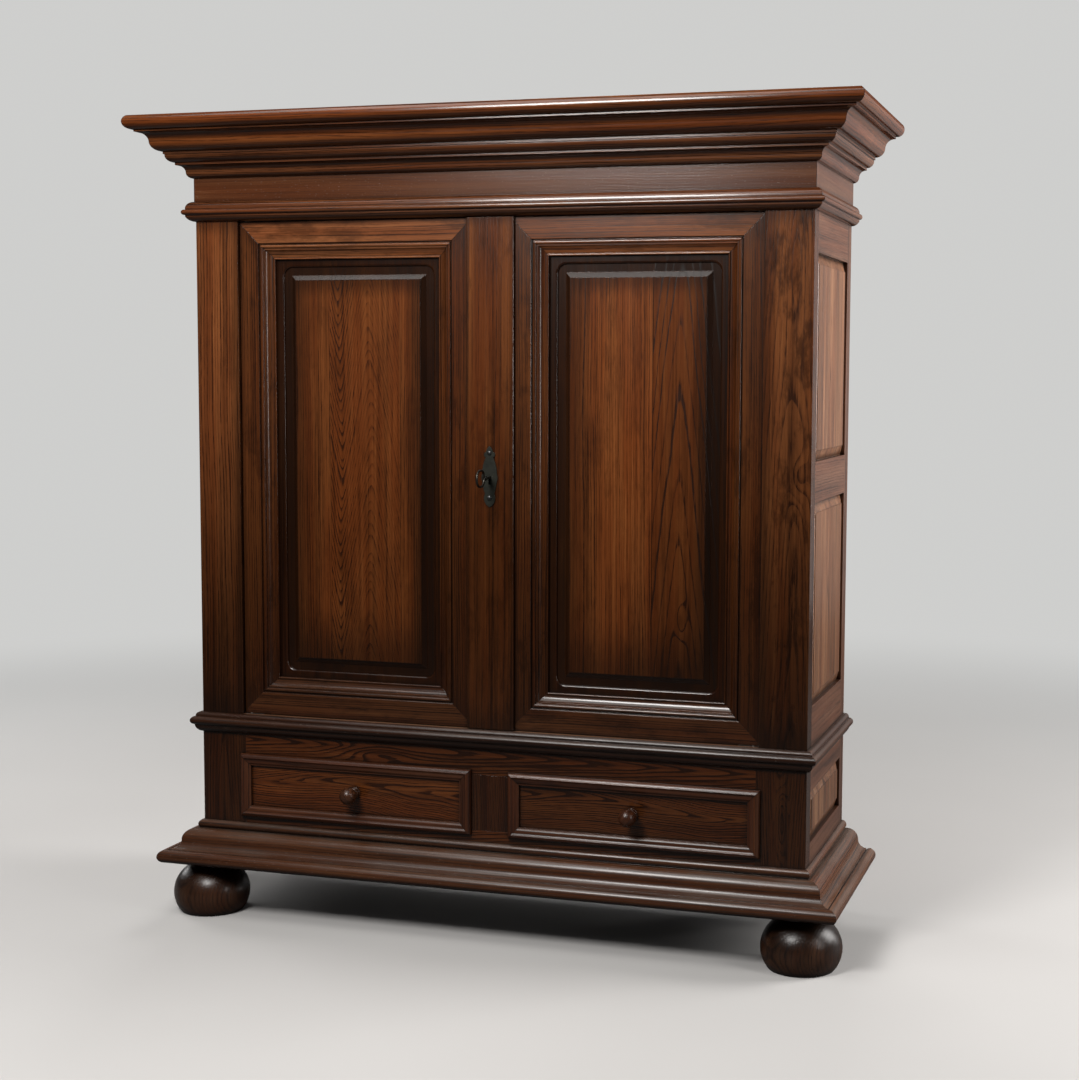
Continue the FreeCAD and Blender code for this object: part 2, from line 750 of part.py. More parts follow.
def backing_frame(meeting_edge, sight):
    """Two stiles and two rails behind the mitred frame, rounded inside and rebated for the panel."""
    x0, x1, z0, z1 = sight
    show = frame_moulding + backing_show
    rebate = show - panel_cover
    frame = block(meeting_edge, door_outer, backing_face, door_back, door_bottom, door_top)
    opening = block(x0 + show, x1 - show, backing_face, door_back, z0 + show, z1 - show)
    corners = [edge for edge in opening.Edges if edge.BoundBox.YLength > backing_lip]
    frame = frame.cut(opening.makeFillet(backing_corner_radius, corners))
    rim = [edge for edge in frame.Edges if edge.BoundBox.YMax < backing_face + HAIR
           and edge.BoundBox.XMin > x0 and edge.BoundBox.XMax < x1]
    frame = frame.makeFillet(backing_ovolo, rim)
    frame = frame.cut(block(x0 + rebate, x1 - rebate, backing_face + backing_lip, door_back,
                            z0 + rebate, z1 - rebate))
    pieces = []
    for left, right in ((meeting_edge, x0 + show), (x1 - show, door_outer), (x0 + show, x1 - show)):
        pieces += frame.common(block(left, right, backing_face, door_back, door_bottom, door_top)).Solids
    return Part.makeCompound(pieces)


def door_panel(sight):
    x0, x1, z0, z1 = sight
    edge = frame_moulding + backing_show - panel_cover + panel_clearance
    panel = fielded_panel(x1 - x0 - 2 * edge, z1 - z0 - 2 * edge, backing_thickness - backing_lip,
                          panel_cover - panel_clearance + panel_margin, panel_step, panel_bevel,
                          panel_bevel_rise, panel_shoulder)
    panel.translate(V(x0 + edge, backing_face + backing_lip, z0 + edge))
    return panel


def door_pivot(z, up):
    """Plate let into the door's end at height z, with its pin."""
    x1 = pivot_x + pivot_in
    y0 = door_face + pivot_plate_setback
    low, high = sorted((z, z - up * pivot_plate))
    plate = block(x1 - pivot_plate_length, x1, y0, y0 + pivot_plate_width, low, high)
    pin = Part.makeCylinder(pivot_radius, pivot_plate + door_gap + pivot_engagement,
                            V(pivot_x, pivot_y, z - up * pivot_plate), V(0, 0, up))
    return plate.fuse(pin)


def make_door(name, meeting_edge, place):
    """The leaf on the right-hand side, put where it belongs by place(shape)."""
    sight = (meeting_edge + lock_stile, door_outer - hinge_stile,
             door_bottom + bottom_rail, door_top - top_rail)
    flats = (lock_stile, hinge_stile, bottom_rail, top_rail)
    low, high, near, off = mitred_frame(door_frame_section, sight, flats, frame_moulding, door_face)
    pivots = [door_pivot(door_bottom, -1), door_pivot(door_top, 1)]
    for pivot in pivots:
        low = low.cut(pivot)
        high = high.cut(pivot)
        off = off.cut(pivot)
    save(name + "_stiles", place(near), place(off))
    save(name + "_rails", place(low), place(high))
    save(name + "_backing_frame", place(backing_frame(meeting_edge, sight)))
    save(name + "_panel", place(door_panel(sight)))
    save(name + "_pivots", *[place(pivot) for pivot in pivots])


def keyhole(y0, y1):
    """Round hole and slot for the key's bit, from y0 to y1."""
    radius = key_radius + key_bore_clearance
    hole = Part.makeCylinder(radius, y1 - y0, V(0, y0, key_z), V(0, 1, 0))
    slot = block(-keyhole_slot / 2, keyhole_slot / 2, y0, y1, key_z - keyhole_drop, key_z)
    return hole.fuse(slot)


def make_meeting_stile():
    """The first door's meeting stile, and the wide centre board on it that covers both doors' edges."""
    stile = block(-meeting_stile_left, meeting_stile_right, door_face, door_back, door_bottom, door_top)
    save("left_door_meeting_stile", stile.cut(keyhole(door_face, door_back)))
    side = centre_board_width / 2
    plan = [(-side, front + centre_board_arris), (-side + centre_board_arris, front),
            (side - centre_board_arris, front), (side, front + centre_board_arris),
            (side, door_face - overlap_clearance), (meeting_stile_right, door_face - overlap_clearance),
            (meeting_stile_right, door_face), (-side, door_face)]
    board = prism([V(x, y, door_bottom) for x, y in plan], V(0, 0, door_top - door_bottom))
    save("left_door_centre_board", board.cut(keyhole(front, door_face)))


# ---- lock, key and escutcheon ----
def make_lock():
    x1 = meeting_stile_right - lock_inset
    x0 = x1 - lock_length
    y0 = door_back
    y1 = y0 + lock_depth
    case = block(x0, x1, y0, y1, key_z - lock_below, key_z + lock_above)
    inside = block(x0 + lock_wall, x1 - lock_wall, y0 + lock_wall, y1 - lock_wall,
                   key_z - lock_below + lock_wall, key_z + lock_above - lock_wall)
    z_bolt = key_z + bolt_above_key
    z0, z1 = z_bolt - bolt_height / 2, z_bolt + bolt_height / 2
    bolt_y = (y0 + y1 - bolt_thickness) / 2
    bolt = block(x1 - bolt_length, x1, bolt_y, bolt_y + bolt_thickness, z0, z1)
    way = block(x1 - bolt_length, x1 + FAR, bolt_y - bolt_clearance, bolt_y + bolt_thickness + bolt_clearance,
                z0 - bolt_clearance, z1 + bolt_clearance)
    guide_x = x1 - bolt_guide_from_end
    guide = block(guide_x, guide_x + bolt_guide, y0 + lock_wall, y1 - lock_wall,
                  z0 - bolt_guide, z1 + bolt_guide)
    case = case.cut(inside.cut(guide)).cut(way).cut(keyhole(y0, y0 + lock_wall))
    save("lock_case", case)
    save("lock_bolt", bolt)

    # The keeper on the second door: a strap with two feet, open towards the lock.
    k0 = x1 + lock_inset + keeper_gap
    k1 = k0 + keeper_depth
    inner_top = bolt_y + bolt_thickness + keeper_clearance
    low, high = z0 - keeper_clearance, z1 + keeper_clearance
    strap = block(k0, k1, door_back, inner_top + keeper_wall, low - keeper_wall, high + keeper_wall)
    foot_reach = keeper_wall + keeper_flange
    feet = block(k0, k1, door_back, door_back + keeper_wall, low - foot_reach, high + foot_reach)
    keeper = strap.fuse(feet).removeSplitter()
    save("lock_keeper", keeper.cut(block(k0, k1, door_back, inner_top, low, high)))


def make_key():
    """Key in the first door: oval ring bow, collar, shank and bit, the bit hanging down."""
    wire = bow_wire / 2
    bend = bow_height / 2 - wire
    straight = bow_length - bow_height
    rear_centre = front - bow_stand - bow_height / 2
    ring = Part.makeTorus(bend, wire, V(0, 0, 0), V(1, 0, 0))
    rear_half = ring.common(block(-wire, wire, 0, bow_height, -bow_height, bow_height))
    front_half = ring.common(block(-wire, wire, -bow_height, 0, -bow_height, bow_height))
    rear_half.translate(V(0, rear_centre, key_z))
    front_half.translate(V(0, rear_centre - straight, key_z))
    sides = [Part.makeCylinder(wire, straight, V(0, rear_centre - straight, key_z + rise), V(0, 1, 0))
             for rise in (bend, -bend)]
    shank_start = front - bow_stand - wire
    shank_end = door_back + lock_depth - lock_wall - key_end_clearance
    shank = Part.makeCylinder(key_radius, shank_end - shank_start, V(0, shank_start, key_z), V(0, 1, 0))
    collar = Part.makeCylinder(key_collar_radius, key_collar, V(0, front - bow_stand, key_z), V(0, 1, 0))
    bit_end = shank_end - key_end_clearance
    bit = block(-bit_thickness / 2, bit_thickness / 2, bit_end - bit_width, bit_end,
                key_z - bit_reach, key_z)
    key = rear_half.multiFuse([front_half, shank, collar, bit] + sides)
    save("key", key.removeSplitter())


def make_escutcheon():
    """Iron plate: small three-lobed head, neck, rounded ears at the keyhole, tapering to a rounded foot."""
    plate = Outline(0, -escutcheon_foot_tip)
    for out, up, rise in ((escutcheon_foot, -escutcheon_foot_level, escutcheon_foot_swell),
                          (escutcheon_ear, -escutcheon_ear_level, escutcheon_taper_swell),
                          (escutcheon_ear, escutcheon_ear_level, escutcheon_ear_swell),
                          (escutcheon_neck, escutcheon_neck_level, escutcheon_waist_swell),
                          (escutcheon_lobe, escutcheon_lobe_level, escutcheon_lobe_swell),
                          (0, escutcheon_tip, escutcheon_tip_swell)):
        plate.swell(out - plate.pen[0], up - plate.pen[1], rise)
    face = plate.face(lambda out, up: V(out, front, key_z + up))
    right = face.extrude(V(0, -escutcheon_thickness, 0))
    left = mirrored(right)
    whole = right.fuse(left).removeSplitter()
    save("escutcheon", whole.cut(keyhole(front - escutcheon_thickness, front)))


# ---- sliding bolts of the second door ----
def sliding_bolt(z, up):
    """Rod and its plate with two staples, on the back of the second door; up is the way that it shoots."""
    tip = z - up * rod_setback
    rod = Part.makeCylinder(rod_radius, rod_length, V(rod_x, rod_y, tip), V(0, 0, -up))
    grip = Part.makeCylinder(rod_knob_radius, rod_knob_length, V(rod_x, rod_y, tip - up * rod_knob_place),
                             V(0, 1, 0))
    rod = rod.fuse(grip.makeFillet(rod_knob_round, [grip.Edges[0]]))
    start = z - up * rod_plate_margin
    low, high = sorted((start, start - up * rod_plate_length))
    wide = rod_plate_width / 2
    plate = block(rod_x - wide, rod_x + wide, door_back, door_back + rod_plate, low, high)
    bore_radius = rod_radius + rod_clearance
    side = bore_radius + staple_wall
    for from_end in (low + staple_inset, high - staple_inset - staple_height):
        plate = plate.fuse(block(rod_x - side, rod_x + side, door_back + rod_plate, rod_y + side,
                                 from_end, from_end + staple_height))
    bore = Part.makeCylinder(bore_radius, 2 * rod_length, V(rod_x, rod_y, z - rod_length), V(0, 0, 1))
    return rod, plate.removeSplitter().cut(bore)


def make_sliding_bolts():
    top_rod, top_plate = sliding_bolt(door_top, 1)
    bottom_rod, bottom_plate = sliding_bolt(door_bottom, -1)
    save("right_door_top_bolt", top_rod)
    save("right_door_bottom_bolt", bottom_rod)
    save("right_door_bolt_plates", top_plate, bottom_plate)


# ---- drawers ----
def drawer_moulding_section(flat):
    """Moulding planted on the drawer's face: round, ridge, hollow, ovolo and fillet."""
    inner_rise = drawer_ridge_rise - drawer_slope_drop - drawer_ovolo_drop
    outline = Outline(0, 0).to(drawer_moulding, 0).by(0, inner_rise)
    outline.to(drawer_ridge_in + drawer_ridge + drawer_slope + drawer_ovolo, inner_rise)
    outline.round(-drawer_ovolo, drawer_ovolo_drop).hollow(-drawer_slope, drawer_slope_drop)
    outline.swell(-drawer_ridge, 0, drawer_ridge_swell)
    return outline.round(-drawer_ridge_in, drawer_edge_rise - drawer_ridge_rise)


def knob(x, z):
    """Turned ball knob with a base, a ring and a tenon through the drawer front."""
    ball_start = knob_stand - math.sqrt(knob_ball ** 2 - knob_neck_radius ** 2)
    outline = Outline(0, -drawer_front).to(knob_tenon_radius, -drawer_front).to(knob_tenon_radius, 0)
    outline.to(knob_base_radius, 0).swell(0, knob_base, knob_base_swell).to(knob_neck_radius, knob_base)
    outline.to(knob_neck_radius, knob_ring_place).to(knob_ring_radius, knob_ring_place)
    outline.swell(0, knob_ring, knob_ring_swell).to(knob_neck_radius, knob_ring_place + knob_ring)
    outline.to(knob_neck_radius, ball_start).arc((knob_ball, knob_stand), (0, knob_stand + knob_ball))
    shape = turned(outline)
    shape.rotate(V(0, 0, 0), V(1, 0, 0), 90)
    shape.translate(V(x, drawer_face, z))
    return shape


def make_drawer(name, place):
    """The drawer on the right-hand side, put where it belongs by place(shape)."""
    x_knob = (drawer_inner + drawer_outer) / 2
    z_knob = (z_drawer + z_drawer_top) / 2
    handle = knob(x_knob, z_knob)
    face_back = drawer_face + drawer_front
    face = block(drawer_inner + drawer_gap, drawer_outer - drawer_gap, drawer_face, face_back,
                 z_drawer + drawer_gap, z_drawer_top - drawer_gap).cut(handle)
    save(name + "_front", place(face))
    save(name + "_knob", place(handle))
    rim = (drawer_inner - drawer_lip, drawer_outer + drawer_lip,
           z_drawer - drawer_lip, z_drawer_top + drawer_lip)
    lengths = mitred_frame(drawer_moulding_section, rim, (0, 0, 0, 0), drawer_moulding, drawer_face)
    save(name + "_moulding", *[place(length) for length in lengths])

    x0 = drawer_inner + drawer_side_room
    x1 = drawer_outer - drawer_side_room
    box_back = back - lower_back_thickness - drawer_back_room
    top = z_drawer_top - drawer_side_drop
    bottom_z = z_drawer + drawer_bottom_up
    floor_in = drawer_side - groove_depth
    bottom = block(x0 + floor_in, x1 - floor_in, face_back, box_back, bottom_z, bottom_z + drawer_bottom)
    near = block(x0, x0 + drawer_side, face_back, box_back, z_drawer + drawer_seat, top).cut(bottom)
    off = block(x1 - drawer_side, x1, face_back, box_back, z_drawer + drawer_seat, top).cut(bottom)
    rear = block(x0 + drawer_side, x1 - drawer_side, box_back - drawer_side, box_back,
                 bottom_z + drawer_bottom, top)
    save(name + "_box", place(near), place(off), place(rear))
    save(name + "_bottom", place(bottom))


# ---- the whole cupboard ----
os.makedirs("parts", exist_ok=True)
make_feet()
make_base()
make_lower_case()
make_waist()
make_cupboard()
make_back_boards()
make_shelves()
make_neck_and_frieze()
make_cornice()
make_door("right_door", second_door_edge, lambda shape: shape)
make_door("left_door", meeting_stile_left, mirrored)
make_meeting_stile()
make_lock()
make_key()
make_escutcheon()
make_sliding_bolts()
make_drawer("right_drawer", lambda shape: shape)
make_drawer("left_drawer", mirrored)
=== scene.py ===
import math

import bmesh
import bpy
from mathutils import Matrix, Vector


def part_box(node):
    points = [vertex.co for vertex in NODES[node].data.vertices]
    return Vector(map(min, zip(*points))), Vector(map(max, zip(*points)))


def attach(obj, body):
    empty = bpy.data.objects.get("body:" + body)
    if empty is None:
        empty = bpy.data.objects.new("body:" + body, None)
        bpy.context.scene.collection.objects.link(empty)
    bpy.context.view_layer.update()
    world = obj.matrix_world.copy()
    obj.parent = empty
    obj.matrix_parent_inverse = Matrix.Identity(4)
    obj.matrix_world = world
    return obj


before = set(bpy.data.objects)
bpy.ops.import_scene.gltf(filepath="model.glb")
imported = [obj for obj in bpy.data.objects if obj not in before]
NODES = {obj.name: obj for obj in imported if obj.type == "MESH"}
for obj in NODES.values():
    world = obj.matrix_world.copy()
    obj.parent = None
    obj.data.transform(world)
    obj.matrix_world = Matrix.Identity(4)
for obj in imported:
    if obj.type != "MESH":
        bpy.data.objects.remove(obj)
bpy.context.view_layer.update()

# The looks of an oak kas cupboard: stained and glazed oak with some painted shade, light and sheen, blackened iron
# and steel on the imported solids, the escutcheon's nails, a pale floor, soft light and the photograph's camera.
# Metres, +Z up, front at -Y.


# ---- material nodes as arithmetic ----
NODE_SAMPLES = 4  # of the bevel and the ambient occlusion nodes
ARRIS_TURN = (0.01, 0.16)  # 1 less the cosine of a normal's rounding where an arris begins, and where it is full


class Value:
    """A number or vector in a material's node tree."""

    def __init__(self, material, socket):
        self.material = material
        self.socket = socket

    def math(self, operation, *others):
        return self.material.add("ShaderNodeMath", {"operation": operation}, self, *others)

    def __add__(self, other):
        return self.math("ADD", other)

    def __sub__(self, other):
        return self.math("SUBTRACT", other)

    def __mul__(self, other):
        return self.math("MULTIPLY", other)

    def __truediv__(self, other):
        return self.math("DIVIDE", other)

    def __rsub__(self, other):
        return (self * -1.0) + other

    __radd__ = __add__
    __rmul__ = __mul__

    def clamp(self):
        result = self.math("ADD", 0.0)
        result.socket.node.use_clamp = True
        return result

    def above(self, edge):
        return self.math("GREATER_THAN", edge)

    def most(self, other):
        return self.math("MAXIMUM", other)

    def smooth(self, low, high):
        """0 below low, 1 above high, and smooth between."""
        return self.material.add("ShaderNodeMapRange", {"interpolation_type": "SMOOTHSTEP"}, self, low, high)


class Material:
    """A node material, built from calls that return Values."""

    def __init__(self, name):
        self.data = bpy.data.materials.new(name)
        self.data.use_nodes = True
        self.tree = self.data.node_tree
        self.tree.nodes.clear()
        self.output = self.tree.nodes.new("ShaderNodeOutputMaterial")

    def set(self, socket, value):
        if isinstance(value, Value):
            self.tree.links.new(value.socket, socket)
        elif value is not None:
            socket.default_value = value

    def add(self, kind, settings, *inputs, out=0):
        node = self.tree.nodes.new(kind)
        for key, value in settings.items():
            setattr(node, key, value)
        for socket, value in zip(node.inputs, inputs):
            self.set(socket, value)
        return Value(self, node.outputs[out])

    def position(self):
        """The three coordinates in the row's frame, which move with the piece's body."""
        place = self.add("ShaderNodeTexCoord", {}, out=3)
        node = self.tree.nodes.new("ShaderNodeSeparateXYZ")
        self.tree.links.new(place.socket, node.inputs[0])
        return [Value(self, output) for output in node.outputs]

    def vector(self, x, y, z):
        return self.add("ShaderNodeCombineXYZ", {}, x, y, z)

    def noise(self, place, detail=2.0, roughness=0.5):
        """3-D noise about 0.5 at a place that is already scaled."""
        node = self.tree.nodes.new("ShaderNodeTexNoise")
        self.set(node.inputs["Vector"], place)
        node.inputs["Scale"].default_value = 1.0
        node.inputs["Detail"].default_value = detail
        node.inputs["Roughness"].default_value = roughness
        return Value(self, node.outputs["Fac"])

    def noise_along(self, place, detail=1.0):
        """1-D noise about 0.5."""
        node = self.tree.nodes.new("ShaderNodeTexNoise")
        node.noise_dimensions = "1D"
        self.set(node.inputs["W"], place)
        node.inputs["Scale"].default_value = 1.0
        node.inputs["Detail"].default_value = detail
        return Value(self, node.outputs["Fac"])

    def choose(self, factor, first, second):
        """first where factor is 0, second where it is 1."""
        return self.add("ShaderNodeMix", {"data_type": "FLOAT"}, factor, None, first, second)

    def blend(self, factor, first, second, way="MIX"):
        """The same for colours, which are (r, g, b) or Values."""
        node = self.tree.nodes.new("ShaderNodeMix")
        node.data_type = "RGBA"
        node.blend_type = way
        self.set(node.inputs[0], factor)
        for socket, colour in ((node.inputs[6], first), (node.inputs[7], second)):
            self.set(socket, colour if isinstance(colour, Value) else (*colour, 1.0))
        return Value(self, node.outputs[2])

    def steps(self, place, first, later):
        """A number that changes at edges: first, then each (edge, number)."""
        if all(number == first for _, number in later):
            return first
        result = None
        before = first
        for edge, number in later:
            rise = place.above(edge) * (number - before)
            result = rise + (first if result is None else result)
            before = number
        return result

    def shade(self, colour, roughness, normal=None, **fixed):
        node = self.tree.nodes.new("ShaderNodeBsdfPrincipled")
        self.set(node.inputs["Base Color"], colour if isinstance(colour, Value) else (*colour, 1.0))
        self.set(node.inputs["Roughness"], roughness)
        self.set(node.inputs["Normal"], normal)
        for key, value in fixed.items():
            node.inputs[key.replace("_", " ")].default_value = value
        self.tree.links.new(node.outputs[0], self.output.inputs[0])

    def soft_edges(self, radius):
        """Normals rounded at the arrises, and how near an arris is, from 0 to 1."""
        node = self.tree.nodes.new("ShaderNodeBevel")
        node.samples = NODE_SAMPLES
        node.inputs["Radius"].default_value = radius
        rounded = Value(self, node.outputs[0])
        true = self.add("ShaderNodeNewGeometry", {}, out=1)
        dot = self.tree.nodes.new("ShaderNodeVectorMath")
        dot.operation = "DOT_PRODUCT"
        self.set(dot.inputs[0], rounded)
        self.set(dot.inputs[1], true)
        return rounded, (1.0 - Value(self, dot.outputs["Value"])).smooth(*ARRIS_TURN)

    def open_air(self, distance):
        """1 on open surfaces, and less in corners and quirks."""
        node = self.tree.nodes.new("ShaderNodeAmbientOcclusion")
        node.samples = NODE_SAMPLES
        node.only_local = False
        node.inputs["Distance"].default_value = distance
        return Value(self, node.outputs["AO"])

    def bump(self, height, distance, normal, strength=1.0):
        node = self.tree.nodes.new("ShaderNodeBump")
        node.inputs["Strength"].default_value = strength
        node.inputs["Distance"].default_value = distance
        self.set(node.inputs["Height"], height)
        self.set(node.inputs["Normal"], normal)
        return Value(self, node.outputs[0])


# ---- oak ----
LINE_WIDTH = 0.0036  # of a growth ring's dark line
WIDEST_LINE = 0.55  # as a share of its ring
GLAZE_AND_SHADE = (0.006, 0.0025, 0.0012)  # colour of dark joints and field edges, and of the painted shade in corners and quirks
GLAZE_AND_SHADE_FADE = 0.65  # share of the darkening round a field's edge that fades out over its width
GLAZE_AND_SHADE_STEP = 0.35  # the rest, which ends at the field's edge
EDGE_BLUR = 0.003
FIELD_DEPTH = 0.012  # how far behind the face a field's glaze reaches
SEAM = (0.0003, 0.0015)  # a dark joint's half width, and where it has faded out
WOOD_ARRIS = 0.0014
PORE_DEPTH = 0.00028
RING_WAVE = 0.0024  # how far fine noise moves the rings
OAK_SHEEN = {"Coat_Roughness": 0.11, "Specular_IOR_Level": 0.4}
# Pale grey for what faces up: partly dusty, partly a painted sheen.
DUST_AND_SHEEN = (0.13, 0.095, 0.075)
DUST_SPECK = (0.30, 0.24, 0.20)


class Board:
    """How one board's growth rings lie: the heart line across it, its depth, its climb and the rings' width.

    edge is where the board begins, and tone multiplies its colour. flip is -1 where the rings bend the other
    way, which with the right shift carries on from the strip before; strips of one tree share their noise. bold
    is the lines' strength, line their share of a ring, and smear the strength of the board's dark blotches.
    """

    def __init__(self, edge, heart, depth=0.03, climb=0.02, ring=0.006, tone=1.0, flip=1, shift=0.0, tree=None,
                 bold=1.0, line=None, smear=1.0):
        self.edge = edge
        self.heart = heart
        self.depth = depth
        self.climb = climb
        self.ring = ring
        self.tone = tone
        self.flip = flip
        self.shift = shift
        self.tree = edge * 100 if tree is None else tree
        self.bold = bold
        self.smear = smear
        self.line = line or min(WIDEST_LINE, LINE_WIDTH / ring)


def glaze_round(first, second):
    """Dark glazing near the edges of a field, and painted shade at the top of a foot. Each side is (coordinate, low,
    high, width at low, width at high).
    """
    clear = None
    for place, low, high, low_width, high_width in (first, second):
        for distance, width in ((place - low, low_width), (high - place, high_width)):
            if width:
                part = distance.smooth(0.0, width) * GLAZE_AND_SHADE_FADE + distance.smooth(-EDGE_BLUR, 0.0) * GLAZE_AND_SHADE_STEP
                clear = part if clear is None else clear * part
    return 1.0 - clear


# For each way of the grain, the axes along it, across the board's face and into it.
FACES = {"x": ("x", "z", "y"), "y": ("y", "z", "x"), "z": ("z", "x", "y"), "zy": ("z", "y", "x"),
         "xy": ("x", "y", "z")}


def stain(red, green=0.30, blue=0.075, line=0.18):
    """Light and dark colours of stained oak: the red share, green and blue against it, and the rings' against that."""
    light = (red * 1.28, red * 1.28 * green, red * 1.28 * blue)
    return light, (light[0] * line, light[1] * line * 0.85, light[2] * line * 0.8)


def oak(name, grain, colours, boards, contrast=1.0, seed=0.0, wander=0.02, glaze=None, depth_of_glaze=0.85,
        turn=None, seams=None, low=None, roughness=0.17, coat=0.0, dust=0.0, wear=0.5, knots=(), streak=1.0,
        corner_shade_reach=0.014, face=0.0, blotch=0.0, relief=1.0, lit_side_tone=1.0):
    """Stained oak. grain names the axis that it runs along; turn is (other grain, where it runs that way).

    glaze(x, y, z) gives the sides of a field that is darker round its edge: dark glazing on the front's
    boards, and painted shade at the top of the feet. seams(x, y, z) gives distances from joints. low (level, level,
    share) takes its colour to that share from the second level down to the first: a share below 1 paints shade
    towards the bottom, and one above 1 paints light there. face is the board's face as a distance from the middle,
    below which its heart lies. contrast is that of the rings, wander how far they stray, streak the strength of the
    fibres, blotch that of dark stains, wear that of light arrises, partly abrasion and partly painted
    highlight, relief that of the bump, dust that of pale specks and of a pale grey on what faces up, partly
    dusty and partly painted sheen, and corner_shade_reach how far the painted shade reaches out of a corner.
    lit_side_tone is a painted light, the tone where turn's other grain runs, and any but 1 also paints shade on the
    downward faces.
    """
    light, dark = colours
    wood = Material(name)
    x, y, z = wood.position()
    axes = {"x": x, "y": y, "z": z}
    along, across, deep = (axes[key] for key in FACES[grain])
    if turn:
        other, where = turn
        share = where(x, y, z)
        along, across, deep = (wood.choose(share, axis, axes[key])
                               for axis, key in zip((along, across, deep), FACES[other]))
        along = along + share * 3.7
    first = boards[0]
    later = boards[1:]

    def per_board(key):
        return wood.steps(across, getattr(first, key), [(board.edge, getattr(board, key)) for board in later])

    index = per_board("tree") + seed

    def noise(lengthwise, crosswise, detail=2.0, roughness=0.5):
        """Noise about 0.5 with so many cells to the metre along the grain and across it."""
        place = wood.vector(along * lengthwise + index, across * crosswise, deep * crosswise)
        return wood.noise(place, detail, roughness)

    drift = noise(1.1, 1.6, 3.0, 0.55) - 0.5
    jitter = noise(18.0, 90.0, 2.0, 0.65) - 0.5
    off = across - per_board("heart") + drift * wander * 2.0
    down = (face - deep.math("ABSOLUTE")) * 0.6 + per_board("depth")
    rings = ((off * off + down * down).math("SQRT") * per_board("flip") + per_board("shift")
             + along * per_board("climb") + jitter * RING_WAVE)
    core = 0.0
    for knot_across, knot_along, size, length, push in knots:
        far = ((across - knot_across) / size).math("POWER", 2.0) + ((along - knot_along) / length).math("POWER", 2.0)
        rings = rings + (far * -1.0).math("EXPONENT") * push
        core = (far * -5.0).math("EXPONENT") * abs(push) * 12.0 + core
    rings = rings / per_board("ring")
    rings = rings + (wood.noise_along(rings * 0.31 + seed) - 0.5) * 1.6
    strength = wood.noise_along(rings * 0.83 + 7.0 + seed).smooth(0.3, 0.7) * 0.6 + 0.45
    part = rings.math("FRACT")
    line = part.smooth(0.0, 0.06) * (1.0 - part.smooth(0.06, per_board("line"))) * strength * per_board("bold")
    pores = noise(42.0, 560.0, 1.0).smooth(0.48, 0.68)
    dashes = noise(26.0, 240.0, 1.0).smooth(0.38, 0.62)
    fibre = noise(2.0, 150.0, 4.0, 0.7) - 0.5
    bands = noise(0.9, 42.0, 3.0, 0.6) - 0.5
    mottle = noise(2.6, 9.0, 3.0, 0.65)
    warm = noise(1.3, 26.0).smooth(0.35, 0.65)

    shade = (line * (dashes * 0.5 + 0.45) * contrast + pores * 0.16 + fibre * streak * 2.4 + bands * streak * 1.5
             + (mottle - 0.5) * 1.2 + core + 0.10)
    warmer = (light[0] * 0.84, light[1] * 0.70, light[2] * 0.62)
    paler = (light[0] * 1.5, light[1] * 1.7, light[2] * 1.8)
    base = wood.blend(warm, light, warmer)
    base = wood.blend((-0.04 - shade).smooth(0.0, 0.5) * 0.5, base, paler)
    colour = wood.blend(shade.clamp(), base, dark)
    if blotch:
        stained = noise(7.0, 19.0, 5.0, 0.7).smooth(0.50, 0.66)
        colour = wood.blend(stained * per_board("smear") * blotch, colour, tuple(c * 0.8 for c in dark))
    tone = per_board("tone")
    if isinstance(tone, Value):
        colour = wood.blend(1.0, colour, wood.vector(tone, tone, tone), "MULTIPLY")
    # Painted shade: the colour darkens towards the bottom, as if lit from above; a share above 1 paints the bottom
    # lighter instead, as painted light.
    if low:
        level, full, share = low
        fall = (z + (mottle - 0.5) * 0.2).smooth(level, full) * (1.0 - share) + share
        colour = wood.blend(1.0, colour, wood.vector(fall, fall, fall), "MULTIPLY")
    # Painted shade: ambient occlusion darkens corners and quirks.
    air = wood.open_air(corner_shade_reach)
    shade_glaze_and_joints = ((1.0 - air) * 1.7).clamp()
    if glaze:
        dark_edge = (glaze_round(*glaze(x, y, z)) * depth_of_glaze + (mottle - 0.5) * 0.25).clamp()
        if face:
            dark_edge = dark_edge * deep.math("ABSOLUTE").above(face - FIELD_DEPTH)
        shade_glaze_and_joints = shade_glaze_and_joints.most(dark_edge)
    if seams:
        for distance in seams(x, y, z):
            shade_glaze_and_joints = shade_glaze_and_joints.most(1.0 - distance.math("ABSOLUTE").smooth(*SEAM))
    # Painted shade in corners and quirks, with the darkening round field edges and the dark joints.
    colour = wood.blend(shade_glaze_and_joints * 0.92, colour, GLAZE_AND_SHADE)
    rounded, edge = wood.soft_edges(WOOD_ARRIS)
    # Arrises painted paler: partly abrasion of the finish, partly painted highlight.
    worn_and_lit = edge * air.smooth(0.55, 0.9) * (mottle * 1.7).clamp() * wear
    abraded_and_lit = (light[0] * 1.5 + 0.03, light[1] * 1.6 + 0.015, light[2] * 2.0 + 0.01)
    colour = wood.blend(worn_and_lit * 0.5, colour, abraded_and_lit)
    # Pale specks, and on upward faces a pale grey that is partly dusty and partly painted sheen.
    if dust:
        facing = wood.tree.nodes.new("ShaderNodeSeparateXYZ")
        wood.set(facing.inputs[0], wood.add("ShaderNodeNewGeometry", {}, out=1))
        upward_dust_and_sheen = Value(wood, facing.outputs[2]).smooth(0.0, 0.9) * mottle.smooth(0.35, 0.65) * dust
        colour = wood.blend(upward_dust_and_sheen, colour, DUST_AND_SHEEN)
        specks = wood.noise(wood.vector(along * 130.0, across * 420.0, deep * 420.0), 2.0).smooth(0.68, 0.73)
        colour = wood.blend(specks * dust, colour, DUST_SPECK)
    height = fibre * 0.12 - pores * 0.5 - line * 0.5
